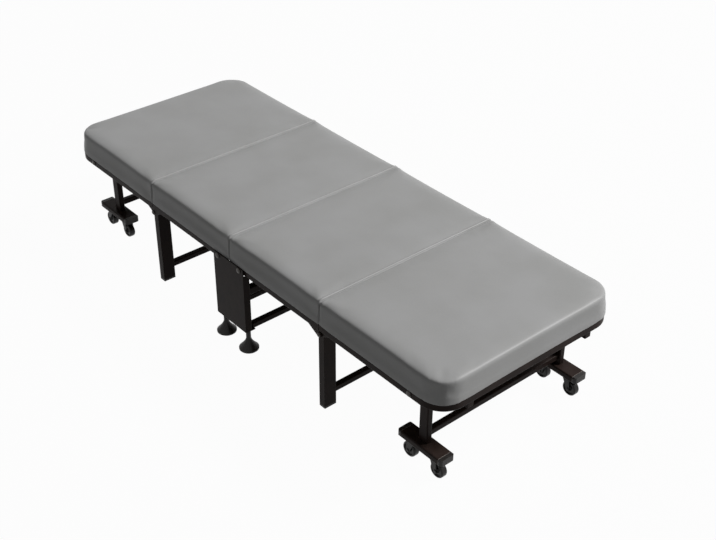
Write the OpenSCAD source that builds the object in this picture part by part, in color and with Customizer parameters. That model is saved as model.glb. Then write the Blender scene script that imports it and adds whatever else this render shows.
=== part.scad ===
// Folding bed of four padded sections on a steel tube frame.
// X runs along the bed, Y across it and Z up from the floor. Lengths are in millimetres.
// A centre stand stays on its feet. The seams at either side of it rise as the bed folds into
// an M, and the end legs stay upright and roll inward on their casters.
// Sections a and b lie at -X, sections c and d at +X, and the two halves mirror each other.

/* [Bed] */
// Length over the pads
bed_length = 1900; // [1860:10:1980]
// Width over the pads
pad_width = 712; // [640:2:800]
// Height of the pads' upper edge above the floor
pad_top = 394; // [380:1:420]
// Thickness of a pad at its edge
pad_thickness = 76; // [60:1:84]
// Plan radius of the bed's four outer corners
corner_radius = 85; // [70:1:110]
// Distance from the start of a corner to the end leg's pivot
end_pivot_gap = 41; // [26:1:50]

/* [Pads] */
// Rise of a pad's middle above its edges
pad_crown = 3; // [1:0.5:8]
// Rounding of a pad's upper edge at the sides and ends of the bed
shoulder_radius = 20; // [10:1:40]
// Rounding of a pad's upper edge at a seam
seam_radius = 7; // [4:0.5:12]
// Rounding of a pad's lower edge
hem_radius = 7; // [4:0.5:10]
// Plan radius of a pad's corners at a seam
seam_corner_radius = 9; // [5:0.5:14]
// How far a side is drawn in between its corners
side_pull = 2; // [0.5:0.5:4]
// Gap between two pads at a seam
pad_gap = 1; // [0.6:0.1:2]

/* [Base boards] */
// Thickness of the plywood board inside each pad
board_thickness = 9; // [6:0.5:12]
// Distance from a pad's side to the edge of its board
board_inset = 10; // [8:1:16]
// Distance from a seam to the edge of a board
board_seam_inset = 9; // [8:1:14]

/* [Frame tubes] */
// Outer size of the square side tubes
tube_size = 25; // [22:0.5:28]
// Wall of the steel tubes
tube_wall = 1.5; // [1:0.1:2]
// Rounding of the tubes' long edges
tube_radius = 3; // [2.2:0.1:4]
// Distance from a pad's side to the outer face of the side tube
rail_inset = 2.6; // [2:0.1:6]
// Outer size of the square cross tubes
cross_size = 20; // [16:0.5:21]
// Gap between two side tubes at an outer seam
rail_gap = 2; // [1:0.1:4]
// How far a side tube runs past its pivot at the centre
rail_tail = 18; // [14:1:22]
// Width of the stop blocks under the end tube
stop_width = 22; // [16:1:50]
// Depth of the stop blocks along the bed
stop_depth = 16; // [12:1:20]
// Height of the stop blocks
stop_height = 20; // [14:1:24]
// Gap across the bed between a stop block and the upright beside it
stop_gap = 17; // [2:1:40]

/* [Centre stand] */
// Distance between the two centre pivots
pivot_spacing = 112; // [110:1:114]
// Distance from a centre pivot to the end of its side plate
plate_margin = 22; // [12:0.5:30]
// Height of a side plate's lower edge above the floor
plate_bottom = 77; // [66:1:90]
// Thickness of the side plates
plate_thickness = 3; // [2:0.5:4]
// Gap between a pad's side and the inner face of a plate
plate_gap = 0.6; // [0.4:0.1:2]
// Depth of the flanges at a plate's two ends
flange_depth = 20; // [16:1:40]
// Depth of the shelf at a plate's lower edge, which carries the feet
shelf_depth = 33; // [30:1:40]
// Gap between a plate's upper edge and the base boards
plate_top_gap = 1.8; // [1:0.1:4]
// Gap between the end flanges and the side tubes above them
flange_top_gap = 2; // [1.5:0.1:12]
// Distance from the side tubes down to the stand's upper cross tubes
upper_bar_drop = 56; // [30:1:80]

/* [Pivots and hinges] */
// Diameter of the pivot bolts
pivot_diameter = 10; // [8:0.5:11]
// Diameter of the pivot bolts' heads
pivot_head_diameter = 18; // [15:0.5:20]
// Diameter of the hinge bolts at the outer seams
hinge_diameter = 8; // [6:0.5:9]
// Diameter of the hinge bolts' heads
hinge_head_diameter = 15; // [13:0.5:17]
// Radial clearance of a bolt or axle that turns in its hole
running_clearance = 0.08; // [0.05:0.01:0.1]
// Gap between two flat faces that turn past each other
side_clearance = 0.4; // [0.3:0.1:0.5]
// Gap between a middle leg's round head and the side tubes above it
hinge_gap = 0.5; // [0.3:0.1:2]
// Depth that a welded piece reaches into the wall of its tube
weld_depth = 1.2; // [0.8:0.1:1.2]
// Thickness of the hinge ears
ear_thickness = 4; // [3:0.5:4.5]
// Radius of the ears round their bolt
ear_radius = 10; // [9:0.5:11]
// Length of an ear along its side tube
ear_length = 48; // [35:1:60]

/* [Middle legs] */
// Thickness of a middle leg's posts along the bed
post_depth = 25; // [22:0.5:25]
// Width of a middle leg's posts across the bed
post_width = 44; // [36:1:50]
// Height of the middle legs' crossbar above the floor
leg_bar_bottom = 44; // [34:1:80]
// Height of the plastic foot under a post
leg_cap_height = 8; // [5:1:12]
// Length of a plastic foot's plug inside its post
plug_length = 18; // [12:1:25]
// Rounding of the plastic feet's lower edges
cap_radius = 3; // [1.5:0.5:4]

/* [End legs] */
// Thickness of an end leg's uprights along the bed
upright_depth = 34; // [22:0.5:35]
// Width of an end leg's uprights across the bed
upright_width = 20; // [18:1:44]
// Distance from a side tube's inner face to the outer face of its upright
upright_inset = 42.4; // [36:0.2:46]
// Distance from an end leg's pivot to the middle of its uprights
upright_offset = 8; // [7.5:0.5:16]
// Height of the end legs' crossbar above the floor
end_bar_bottom = 106; // [100:1:130]
// Diameter of the end legs' axle tube
axle_diameter = 22; // [20:0.5:23]
// Length of the sleeve for the bolt in each end of the axle
sleeve_length = 34; // [25:1:45]

/* [Foot bars] */
// Distance from a caster's swivel axis to the end of its foot bar
foot_bar_overhang = 45; // [38:1:50]
// Width of a foot bar
foot_bar_width = 54; // [44:1:60]
// Height of a foot bar
foot_bar_height = 22; // [20:1:28]
// Distance across the bed from the middle of an upright out to the middle of its foot bar
foot_bar_out = 2; // [0:1:12]
// Distance from an end leg's pivot inward to the middle of its foot bars
foot_bar_shift = 3; // [0:1:8]
// Rounding of a foot bar's long edges
foot_bar_radius = 5; // [3:0.5:6]
// Length of a foot bar's end cap
bar_cap_length = 13; // [10:1:18]
// Plan radius of a foot bar's cap at its corners
bar_cap_corner = 9; // [6:1:12]

/* [Casters] */
// Diameter of a caster wheel
wheel_diameter = 50; // [44:1:54]
// Width of a caster wheel
wheel_width = 22; // [16:1:24]
// Height from the top of a wheel to the top of its fork
fork_headroom = 9; // [6:1:14]
// Distance from a caster's swivel axis to its wheel's axle
caster_trail = 12; // [8:1:14]
// Distance between the swivel axes of a foot bar's two casters
caster_base = 90; // [84:1:98]
// Thickness of a caster fork's sides
fork_wall = 3.5; // [2:0.5:4]
// Diameter of a caster's ball race housing
race_diameter = 34; // [30:1:38]
// Height of a caster's ball race housing
race_height = 9; // [7:0.5:11]
// Diameter of a caster's stem
stem_diameter = 10; // [8:0.5:12]
// Diameter of a wheel's axle pin
axle_pin_diameter = 6; // [5:0.5:7]

/* [Levelling feet] */
// Diameter of a levelling foot
foot_diameter = 65; // [50:1:68]
// Height of a levelling foot's bell
foot_bell_height = 44; // [30:1:50]
// Diameter of the neck above the bell
foot_neck_diameter = 16; // [14:1:20]
// Thickness of a foot's straight rim
foot_rim_height = 6; // [4:0.5:9]
// Distance of a foot's stem from the end of its plate
foot_plate_inset = 16.5; // [8:0.5:20]
// Distance of a foot's stem from the inner face of its plate
foot_side_inset = 16.6; // [14:0.1:20]
// Height of a foot's stem above its boss
foot_stem_rise = 3; // [2:0.5:8]

/* [Hidden] */

STEEL = "#1c1918";
STEEL_LIGHT = "#2b2725";
BLACK_ZINC = "#302e2d";
PLASTIC = "#161514";
PLYWOOD = "#b99766";
COVER = "#8c8c8c";

$fn = 48;
// Overrun of a cut past the face it opens
over = 1;
// Gap that keeps two still pieces of one body apart
seat_gap = 0.3;

// Heights of the side tubes
rail_top = pad_top - pad_thickness;
rail_bottom = rail_top - tube_size;
rail_mid = rail_top - tube_size / 2;
// Faces of the side tubes, from the middle of the bed
rail_out = pad_width / 2 - rail_inset;
rail_in = rail_out - tube_size;
rail_line = rail_out - tube_size / 2;

// Pivots, as X and Z. The seam hinge lies halfway between the other two, so both links of a
// half are equally long and the end legs stay level as they fold.
centre_pivot = [pivot_spacing / 2, rail_mid];
end_pivot = [bed_length / 2 - corner_radius - end_pivot_gap, rail_mid];
inner_length = (centre_pivot.x + end_pivot.x) / 2;
seam_hinge = [inner_length, rail_bottom - hinge_gap - post_depth / 2];

// Ends of the tubes along the bed
rail_start = centre_pivot.x - rail_tail;
rail_seam_end = inner_length - rail_gap / 2;
rail_seam_start = inner_length + rail_gap / 2;
rail_end = bed_length / 2 - rail_inset;
bend_radius = corner_radius - rail_inset;
bend_centre = [rail_end - bend_radius, rail_out - bend_radius];
// Wall left at the closed end of a tube
end_wall = tube_wall * 2;

// Cross tubes lie flush with the tops of the side tubes. Their places are shares of the way
// along the free stretch of side tube.
cross_mid_z = rail_top - cross_size / 2;
inner_cross_shares = [0.14, 0.9];
outer_cross_shares = [0.09, 0.62];
outer_free_end = end_pivot.x - axle_diameter;

// Seam hinge: ears, post and bolt, from the outer face inward
ear_recess = side_clearance;
inner_ear_out = rail_out - ear_recess;
outer_ear_out = inner_ear_out - ear_thickness - side_clearance;
post_out = outer_ear_out - ear_thickness - side_clearance;
post_in = post_out - post_width;
hinge_head_height = hinge_diameter * 0.55;
nut_share = 0.8;

// Centre stand
plate_in = pad_width / 2 + plate_gap;
plate_out = plate_in + plate_thickness;
plate_top = rail_top - plate_top_gap;
plate_half = centre_pivot.x + plate_margin;
flange_top = rail_bottom - flange_top_gap;
foot_x = plate_half - foot_plate_inset;
foot_y = plate_in - foot_side_inset;
foot_boss_radius = stem_diameter * 0.8;
foot_boss_height = plate_thickness * 2;
boss_gap = 1.5;
cross_end_y = foot_y - foot_boss_radius - boss_gap;
low_bar_x = plate_half - plate_thickness - cross_size / 2;
low_bar_z = plate_bottom + plate_thickness + cross_size / 2;
upper_bar_x = plate_half - plate_thickness - tube_size / 2;
upper_bar_z = rail_bottom - upper_bar_drop - tube_size / 2;
// How fast the bell of a levelling foot widens towards its rim
bell_power = 1.55;
pivot_head_height = pivot_diameter * 0.45;

// End legs
upright_x = end_pivot.x - upright_offset;
upright_top = end_pivot.y;
upright_y = rail_in - upright_inset - upright_width / 2;
upright_in = upright_y - upright_width / 2;
stop_out = upright_in - stop_gap;
cope_gap = 0.1;
axle_bore_wall = 2;

// Casters and foot bars
wheel_radius = wheel_diameter / 2;
fork_gap = 1;
fork_inner = wheel_width / 2 + fork_gap;
fork_outer = fork_inner + fork_wall;
fork_top = wheel_diameter + fork_headroom;
fork_plate = fork_wall;
foot_bar_x = end_pivot.x - foot_bar_shift;
foot_bar_y = upright_y + foot_bar_out;
foot_bar_bottom = fork_top + race_height;
foot_bar_top = foot_bar_bottom + foot_bar_height;
bar_tube_half = caster_base / 2 + foot_bar_overhang - bar_cap_length;
bar_plug_share = 0.6;
bar_plug_length = (bar_tube_half - caster_base / 2 - stem_diameter / 2) * bar_plug_share;
axle_boss_radius = axle_pin_diameter * 1.15;
rivet_height = fork_wall * 0.6;
stem_top = foot_bar_bottom + foot_bar_height * 0.7;
race_gap = 0.3;
hub_radius = axle_pin_diameter * 1.2;
tyre_wall = wheel_radius * 0.22;
wheel_recess = wheel_width * 0.18;
tread_radius = wheel_width * 0.22;

// Each row is a name, the half of the bed, the side and the end of the foot bar
CASTERS = [
    ["left_near_outer", -1, -1, 1], ["left_near_inner", -1, -1, -1],
    ["left_far_outer", -1, 1, 1], ["left_far_inner", -1, 1, -1],
    ["right_near_outer", 1, -1, 1], ["right_near_inner", 1, -1, -1],
    ["right_far_outer", 1, 1, 1], ["right_far_inner", 1, 1, -1]
];
// Each row is a name, the half of the bed and the side
FEET = [
    ["left_near", -1, -1], ["left_far", -1, 1], ["right_near", 1, -1], ["right_far", 1, 1]
];

// Mirrors what is drawn at +X to the left half
module left() mirror([1, 0, 0]) children();

// Draws a piece at -Y and its mirror image at +Y
module both_sides() for (far = [0, 1]) mirror([0, far, 0]) children();

// Puts a profile drawn in X and Z on edge, from y0 to y1
module upright_slab(y0, y1) translate([0, y1, 0]) rotate([90, 0, 0])
    linear_extrude(y1 - y0) children();

// Cylinder along Y from y0 to y1 round the point [x, z]
module pin(at, radius, y0, y1) translate([at.x, y1, at.y]) rotate([90, 0, 0])
    cylinder(r = radius, h = y1 - y0);

// Rectangle with rounded corners about the origin
module rounded_rect(w, h, r) {
    square([w - 2 * r, h], center = true);
    square([w, h - 2 * r], center = true);
    for (x = [-1, 1], y = [-1, 1]) translate([x * (w / 2 - r), y * (h / 2 - r)]) circle(r);
}

// Outline of a tube's bore
module bore_rect(w, h, r, wall) rounded_rect(w - 2 * wall, h - 2 * wall, r - wall);

// Tube along X from x0 to x1 with closed ends
module closed_tube_x(x0, x1, y, z, size) {
    difference() {
        translate([x0, y, z]) rotate([90, 0, 90])
            linear_extrude(x1 - x0) rounded_rect(size, size, tube_radius);
        translate([x0 + end_wall, y, z]) rotate([90, 0, 90])
            linear_extrude(x1 - x0 - 2 * end_wall) bore_rect(size, size, tube_radius, tube_wall);
    }
}

// Open tube along Y between -y and y
module tube_y(x, z, y, w, h) {
    translate([x, y, z]) rotate([90, 0, 0]) linear_extrude(2 * y) difference() {
        rounded_rect(w, h, tube_radius);
        bore_rect(w, h, tube_radius, tube_wall);
    }
}

// Point where the tangent from p meets a circle, on the side that turn chooses
function tangent_point(p, centre, radius, turn) =
    let (d = norm(p - centre), a = atan2(p.y - centre.y, p.x - centre.x) + turn * acos(radius / d))
    centre + radius * [cos(a), sin(a)];

// Hinge ear as seen from the side: way is -1 where its tube lies towards -X
module ear_profile(way) {
    root_z = rail_bottom + weld_depth;
    root_far = [seam_hinge.x + way * ear_length, root_z];
    root_near = [seam_hinge.x + way * rail_gap / 2, root_z];
    nose = [seam_hinge.x - way * ear_radius, seam_hinge.y];
    low = tangent_point(root_far, seam_hinge, ear_radius, -way);
    polygon([root_far, root_near, nose, seam_hinge, low]);
    translate(seam_hinge) circle(ear_radius);
}

// Ear plate under a side tube, welded to it, on the near side
module ear(way, out) {
    upright_slab(-out, -out + ear_thickness) ear_profile(way);
}

// Bolt along Y on the near side: a domed head outside, and a nut inside where nut is not 0
module bolt(at, diameter, head_diameter, head_height, out, inner, nut) {
    head_radius = head_diameter / 2;
    rim = head_height * 0.35;
    translate([at.x, -out, at.y]) rotate([90, 0, 0]) {
        rotate_extrude() {
            square([head_radius, rim]);
            intersection() {
                translate([0, rim]) scale([head_radius, head_height - rim]) circle(1);
                translate([0, rim]) square([head_radius, head_height]);
            }
        }
    }
    pin(at, diameter / 2, -out - rim / 2, -inner + (nut > 0 ? nut : 0));
    if (nut > 0) {
        translate([at.x, -inner + nut, at.y]) rotate([90, 0, 0])
            cylinder(r = head_radius * 0.95, h = nut - side_clearance, $fn = 6);
    }
}

// Centre stand

// A side plate with its end flanges and shelf, bolt holes and the bosses for the feet
module center_plates() color(STEEL) both_sides() {
    difference() {
        union() {
            translate([-plate_half, -plate_out, plate_bottom])
                cube([2 * plate_half, plate_thickness, plate_top - plate_bottom]);
            for (end = [0, 1]) mirror([end, 0, 0])
                translate([plate_half - plate_thickness, -plate_in, plate_bottom])
                    cube([plate_thickness, flange_depth, flange_top - plate_bottom]);
            translate([-plate_half, -plate_in, plate_bottom])
                cube([2 * plate_half, shelf_depth, plate_thickness]);
            for (end = [-1, 1]) translate([end * foot_x, -foot_y, plate_bottom])
                cylinder(r = foot_boss_radius, h = plate_thickness + foot_boss_height);
        }
        for (end = [-1, 1]) {
            pin([end * centre_pivot.x, centre_pivot.y], pivot_diameter / 2 + running_clearance,
                -plate_out - over, -plate_in + over);
            translate([end * foot_x, -foot_y, plate_bottom - over])
                cylinder(r = stem_diameter / 2 + running_clearance,
                         h = plate_thickness + foot_boss_height + 2 * over);
        }
    }
}

// The tubes that join the plates: two low ones on the shelves and two between the end flanges
module center_cross_tubes() color(STEEL)
    for (end = [-1, 1]) {
        tube_y(end * low_bar_x, low_bar_z, cross_end_y, cross_size, cross_size);
        tube_y(end * upper_bar_x, upper_bar_z, plate_in, tube_size, tube_size);
    }

module center_pivot_bolts() color(BLACK_ZINC) both_sides()
    for (end = [-1, 1])
        bolt([end * centre_pivot.x, centre_pivot.y], pivot_diameter, pivot_head_diameter,
             pivot_head_height, plate_out, rail_in, pivot_diameter * nut_share);

module center_pivot_spacers() color(BLACK_ZINC) both_sides()
    for (end = [-1, 1]) difference() {
        pin([end * centre_pivot.x, centre_pivot.y], pivot_head_diameter / 2,
            -plate_in, -rail_out - side_clearance);
        pin([end * centre_pivot.x, centre_pivot.y], pivot_diameter / 2 + running_clearance,
            -plate_in - over, -rail_out + over);
    }

// Bell-shaped foot with its neck and threaded stem, revolved
module levelling_foot(place) {
    radius = foot_diameter / 2;
    neck = foot_neck_diameter / 2;
    bell = foot_bell_height - foot_rim_height;
    steps = 10;
    skirt = [for (i = [0:steps]) let (t = i / steps)
        [neck + (radius - neck) * pow(1 - t, bell_power), foot_rim_height + bell * t]];
    color(PLASTIC) translate([place[1] * foot_x, place[2] * foot_y, 0]) {
        rotate_extrude() polygon(concat(
            [[0, 0], [radius - foot_rim_height / 4, 0], [radius, foot_rim_height / 4]],
            skirt,
            [[neck, plate_bottom - side_clearance], [0, plate_bottom - side_clearance]]));
        translate([0, 0, foot_bell_height])
            cylinder(r = stem_diameter / 2, h = plate_bottom + plate_thickness
                     + foot_boss_height + foot_stem_rise - foot_bell_height);
    }
}

// Side tubes of an inner section, each with its hinge ear
module side_rails() color(STEEL) both_sides() {
    difference() {
        union() {
            closed_tube_x(rail_start, rail_seam_end, -rail_line, rail_mid, tube_size);
            ear(-1, inner_ear_out);
        }
        pin(centre_pivot, pivot_diameter / 2 + running_clearance,
            -rail_out - over, -rail_in + over);
        pin(seam_hinge, hinge_diameter / 2 + running_clearance,
            -rail_out - over, -rail_in + over);
    }
}

// Bent tube of an outer section: two sides, two bends and the end, with ears and stop blocks
module frame_bend() color(STEEL) difference() {
    union() {
        difference() {
            bend_path(rail_seam_start) rounded_rect(tube_size, tube_size, tube_radius);
            bend_path(rail_seam_start + end_wall)
                bore_rect(tube_size, tube_size, tube_radius, tube_wall);
        }
        both_sides() ear(1, outer_ear_out);
        both_sides() translate([rail_end - tube_size / 2 - stop_depth / 2, -stop_out,
                                rail_bottom - stop_height])
            cube([stop_depth, stop_width, stop_height + weld_depth]);
    }
    both_sides() {
        pin(end_pivot, pivot_diameter / 2 + running_clearance, -rail_out - over, -rail_in + over);
        pin(seam_hinge, hinge_diameter / 2 + running_clearance,
            -rail_out - over, -rail_in + over);
    }
}

// Sweeps a profile along the bent tube, from x0 on one side round to x0 on the other
module bend_path(x0) {
    line_radius = bend_radius - tube_size / 2;
    both_sides() {
        translate([x0, -rail_line, rail_mid]) rotate([90, 0, 90])
            linear_extrude(bend_centre.x - x0) children();
        translate([bend_centre.x, -bend_centre.y, rail_mid]) rotate([0, 0, -90])
            rotate_extrude(angle = 90) translate([line_radius, 0]) children();
    }
    translate([rail_end - tube_size / 2, bend_centre.y, rail_mid]) rotate([90, 0, 0])
        linear_extrude(2 * bend_centre.y) children();
}

// Cross tubes of a section, between its side tubes
module cross_tubes(x0, x1, shares) color(STEEL)
    for (share = shares)
        tube_y(x0 + (x1 - x0) * share, cross_mid_z, rail_in, cross_size, cross_size);

module inner_cross_tubes() cross_tubes(rail_start, rail_seam_end, inner_cross_shares);
module outer_cross_tubes() cross_tubes(rail_seam_start, outer_free_end, outer_cross_shares);

// Plan of a pad or board from x0 to x1, with its own radii at the two ends
module pad_plan(x0, x1, half_width, r0, r1) {
    both_sides_2d() {
        translate([x0 + r0, 0]) square([x1 - x0 - r0 - r1, half_width]);
        translate([x0, 0]) square([x1 - x0, half_width - max(r0, r1)]);
        translate([x0 + r0, half_width - r0]) circle(r0);
        translate([x0, 0]) square([r0 * 2, half_width - r0]);
        translate([x1 - r1, half_width - r1]) circle(r1);
    }
}
module both_sides_2d() for (far = [0, 1]) mirror([0, far]) children();

module base_board(x0, x1, r0, r1, grow, height) {
    translate([0, 0, rail_top]) linear_extrude(height)
        pad_plan(x0 - grow, x1 + grow, pad_width / 2 - board_inset + grow, r0, r1);
}
module inner_board(grow, height)
    base_board(board_seam_inset, inner_length - board_seam_inset,
               seam_corner_radius, seam_corner_radius, grow, height);
module outer_board(grow, height)
    base_board(inner_length + board_seam_inset, bed_length / 2 - board_inset,
               seam_corner_radius, corner_radius - board_inset, grow, height);
module inner_base_board() color(PLYWOOD) inner_board(0, board_thickness);
module outer_base_board() color(PLYWOOD) outer_board(0, board_thickness);

// Pads

arc_steps = 6;
side_steps = 4;
shoulder_steps = 5;
hem_steps = 2;
crown_shares = [0.2, 0.5, 0.85];
least_radius = 1;

// A ring of points round a pad, counted from the corner at x1 and +Y, anticlockwise.
// in0, in1 and in_y are its distances inside the ends and sides, z0, z1 and z_y its heights there.
function pad_ring(x0, x1, half, r0, r1, in0, in1, in_y, z0, z1, z_y, pull1) =
    let (corners = [
        [x1, half, 1, 1, r1, in1, z1], [x0, half, -1, 1, r0, in0, z0],
        [x0, -half, -1, -1, r0, in0, z0], [x1, -half, 1, -1, r1, in1, z1]],
        arcs = [for (i = [0:3]) pad_arc(corners[i], 90 * i, in_y, z_y)])
    [for (i = [0:3]) let (
        arc = arcs[i], next = arcs[(i + 1) % 4][0], last = arc[arc_steps],
        pull = i % 2 == 0 ? side_pull : i == 3 ? pull1 : 0,
        inward = i == 0 ? [0, -1, 0] : i == 1 ? [1, 0, 0] : i == 2 ? [0, 1, 0] : [-1, 0, 0])
        each concat(arc, [for (s = [1:side_steps - 1]) let (t = s / side_steps)
            last + (next - last) * t + inward * pull * 4 * t * (1 - t)])];

// The arc of one corner: [x, y, x sign, y sign, radius, inset, height], from its start angle
function pad_arc(c, start, in_y, z_y) =
    let (rx = max(c[4] - c[5], least_radius), ry = max(c[4] - in_y, least_radius),
         centre = [c[0] - c[2] * (rx + c[5]), c[1] - c[3] * (ry + in_y)])
    [for (s = [0:arc_steps]) let (a = start + 90 * s / arc_steps, share = sin(a) * sin(a))
        [centre.x + rx * cos(a), centre.y + ry * sin(a), c[6] + (z_y - c[6]) * share]];

// Closed cushion form: hem, side, shoulder and crown rings joined by triangles
module cushion(x0, x1, r0, r1, shoulder1, hem1, pull1) {
    half = pad_width / 2;
    low = rail_top + seat_gap;
    hems = [for (i = [0:hem_steps]) let (a = 90 - 90 * i / hem_steps,
        c = 1 - cos(a), s = 1 - sin(a))
        pad_ring(x0, x1, half, r0, r1, seam_radius * c, hem1 * c, hem_radius * c,
                 low + seam_radius * s, low + hem1 * s, low + hem_radius * s, pull1)];
    shoulders = [for (i = [0:shoulder_steps]) let (a = 90 * i / shoulder_steps,
        c = 1 - cos(a), s = 1 - sin(a))
        pad_ring(x0, x1, half, r0, r1, seam_radius * c, shoulder1 * c, shoulder_radius * c,
                 pad_top - seam_radius * s, pad_top - shoulder1 * s,
                 pad_top - shoulder_radius * s, pull1)];
    reach = (x1 - x0) / 2 - shoulder_radius;
    crowns = [for (share = crown_shares) let (in = reach * share,
        z = pad_top + pad_crown * (1 - (1 - share) * (1 - share)))
        pad_ring(x0, x1, half, r0, r1, seam_radius + in, shoulder1 + in, shoulder_radius + in,
                 z, z, z, pull1 * (1 - share))];
    rings = concat(hems, shoulders, crowns);
    n = len(rings[0]);
    count = len(rings);
    middle = (x0 + x1) / 2;
    points = concat([for (ring = rings) each ring],
                    [[middle, 0, low], [middle, 0, pad_top + pad_crown]]);
    walls = [for (k = [0:count - 2], i = [0:n - 1]) let (
        a = k * n + i, b = k * n + (i + 1) % n, c = a + n, d = b + n)
        each [[a, c, b], [b, c, d]]];
    base = [for (i = [0:n - 1]) [count * n, i, (i + 1) % n]];
    crown = [for (i = [0:n - 1])
        [count * n + 1, (count - 1) * n + (i + 1) % n, (count - 1) * n + i]];
    polyhedron(points, concat(walls, base, crown), convexity = 4);
}

module inner_pad() color(COVER) difference() {
    cushion(pad_gap / 2, inner_length - pad_gap / 2, seam_corner_radius, seam_corner_radius,
            seam_radius, seam_radius, 0);
    inner_board(seat_gap, board_thickness + seat_gap);
}

module outer_pad() color(COVER) difference() {
    cushion(inner_length + pad_gap / 2, bed_length / 2, seam_corner_radius, corner_radius,
            shoulder_radius, hem_radius, side_pull);
    outer_board(seat_gap, board_thickness + seat_gap);
}

// Bolts of the seam hinge and of the end leg's pivot
module hinge_bolts() color(BLACK_ZINC) both_sides()
    bolt(seam_hinge, hinge_diameter, hinge_head_diameter, hinge_head_height,
         inner_ear_out, post_in, hinge_diameter * nut_share);

module pivot_bolts() color(BLACK_ZINC) both_sides()
    bolt(end_pivot, pivot_diameter, pivot_head_diameter, pivot_head_height,
         rail_out, rail_in - sleeve_length * 0.8, 0);

// Middle leg

// Post as seen from the side: straight, with a round head on the hinge
module post_profile(z0, depth) {
    translate([seam_hinge.x - depth / 2, z0]) square([depth, seam_hinge.y - z0]);
    translate(seam_hinge) circle(depth / 2);
}

module leg_posts() color(STEEL) both_sides() difference() {
    upright_slab(-post_out, -post_in) post_profile(leg_cap_height, post_depth);
    translate([seam_hinge.x - post_depth / 2 + tube_wall, -post_out + tube_wall,
               leg_cap_height - over])
        cube([post_depth - 2 * tube_wall, post_width - 2 * tube_wall,
              seam_hinge.y - post_depth / 2 - leg_cap_height + over]);
    pin(seam_hinge, hinge_diameter / 2 + running_clearance, -post_out - over, -post_in + over);
}

module leg_crossbar() color(STEEL)
    tube_y(seam_hinge.x, leg_bar_bottom + cross_size / 2, post_in, cross_size, cross_size);

// Block with rounded lower edges, made from two crossed profiles
module rounded_foot(w, d, h, r) intersection() {
    rotate([90, 0, 0]) linear_extrude(d, center = true) foot_outline(w, h, r);
    rotate([90, 0, 90]) linear_extrude(w, center = true) foot_outline(d, h, r);
}
module foot_outline(w, h, r) {
    translate([-w / 2, r]) square([w, h - r]);
    translate([-w / 2 + r, 0]) square([w - 2 * r, h]);
    for (side = [-1, 1]) translate([side * (w / 2 - r), r]) circle(r);
}

module leg_caps() color(PLASTIC) both_sides()
    translate([seam_hinge.x, -(post_out + post_in) / 2, 0]) {
        rounded_foot(post_depth, post_width, leg_cap_height, cap_radius);
        inner = 2 * (tube_wall + seat_gap);
        translate([-(post_depth - inner) / 2, -(post_width - inner) / 2, leg_cap_height - over])
            cube([post_depth - inner, post_width - inner, plug_length + over]);
    }

// End leg

module end_uprights() color(STEEL) both_sides() difference() {
    translate([upright_x, -upright_y, foot_bar_top]) linear_extrude(upright_top - foot_bar_top)
        difference() {
            rounded_rect(upright_depth, upright_width, tube_radius);
            bore_rect(upright_depth, upright_width, tube_radius, tube_wall);
        }
    pin(end_pivot, axle_diameter / 2 + cope_gap, -rail_in, 0);
}

// Crossbar between the uprights
module end_crossbar() color(STEEL)
    tube_y(upright_x, end_bar_bottom + cross_size / 2, upright_in, cross_size, cross_size);

// Axle tube across the section, with a bored sleeve in each end
module end_axle() {
    radius = axle_diameter / 2;
    half = rail_in - side_clearance;
    hole = pivot_diameter / 2 + running_clearance;
    bore = radius - axle_bore_wall;
    color(STEEL_LIGHT) translate([end_pivot.x, half, end_pivot.y]) rotate([90, 0, 0])
        rotate_extrude() polygon([
            [hole, 0], [radius, 0], [radius, 2 * half], [hole, 2 * half],
            [hole, 2 * half - sleeve_length], [bore, 2 * half - sleeve_length],
            [bore, sleeve_length], [hole, sleeve_length]]);
}

module foot_bars() color(STEEL) both_sides() difference() {
    translate([foot_bar_x - bar_tube_half, -foot_bar_y, foot_bar_bottom + foot_bar_height / 2])
        rotate([90, 0, 90]) linear_extrude(2 * bar_tube_half) difference() {
            rounded_rect(foot_bar_width, foot_bar_height, foot_bar_radius);
            bore_rect(foot_bar_width, foot_bar_height, foot_bar_radius, tube_wall);
        }
    for (end = [-1, 1])
        translate([foot_bar_x + end * caster_base / 2, -foot_bar_y, foot_bar_bottom - over])
            cylinder(r = stem_diameter / 2 + running_clearance, h = tube_wall + 2 * over);
}

// Cap with rounded corners, seen from above, that continues the foot bar's section
module bar_cap() {
    inner = 2 * (tube_wall + seat_gap);
    intersection() {
        rotate([90, 0, 90]) linear_extrude(bar_cap_length)
            rounded_rect(foot_bar_width, foot_bar_height, foot_bar_radius);
        linear_extrude(foot_bar_height, center = true)
            translate([bar_cap_length - foot_bar_width / 2, 0])
                rounded_rect(foot_bar_width, foot_bar_width, bar_cap_corner);
    }
    translate([-bar_plug_length, -(foot_bar_width - inner - foot_bar_radius) / 2,
               -(foot_bar_height - inner) / 2])
        cube([bar_plug_length + over, foot_bar_width - inner - foot_bar_radius,
              foot_bar_height - inner]);
}

module foot_bar_caps() color(PLASTIC) both_sides()
    translate([foot_bar_x, -foot_bar_y, foot_bar_bottom + foot_bar_height / 2])
        for (end = [0, 1]) mirror([end, 0, 0])
            translate([bar_tube_half, 0, 0]) bar_cap();

// Casters

// Puts a caster drawn about its swivel axis, trailing towards +X, in its place
module caster_place(place)
    translate([place[1] * (foot_bar_x + place[3] * caster_base / 2), place[2] * foot_bar_y, 0])
        mirror([place[1] * place[3] < 0 ? 1 : 0, 0, 0]) children();

// Side of the fork: from the race housing down to the axle
module fork_side_profile() {
    axle = [caster_trail, wheel_radius];
    back = [-race_diameter * 0.3, fork_top];
    front = [race_diameter * 0.36, fork_top];
    polygon([back, front, tangent_point(front, axle, axle_boss_radius, -1), axle,
             tangent_point(back, axle, axle_boss_radius, 1)]);
    translate(axle) circle(axle_boss_radius);
}

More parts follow.
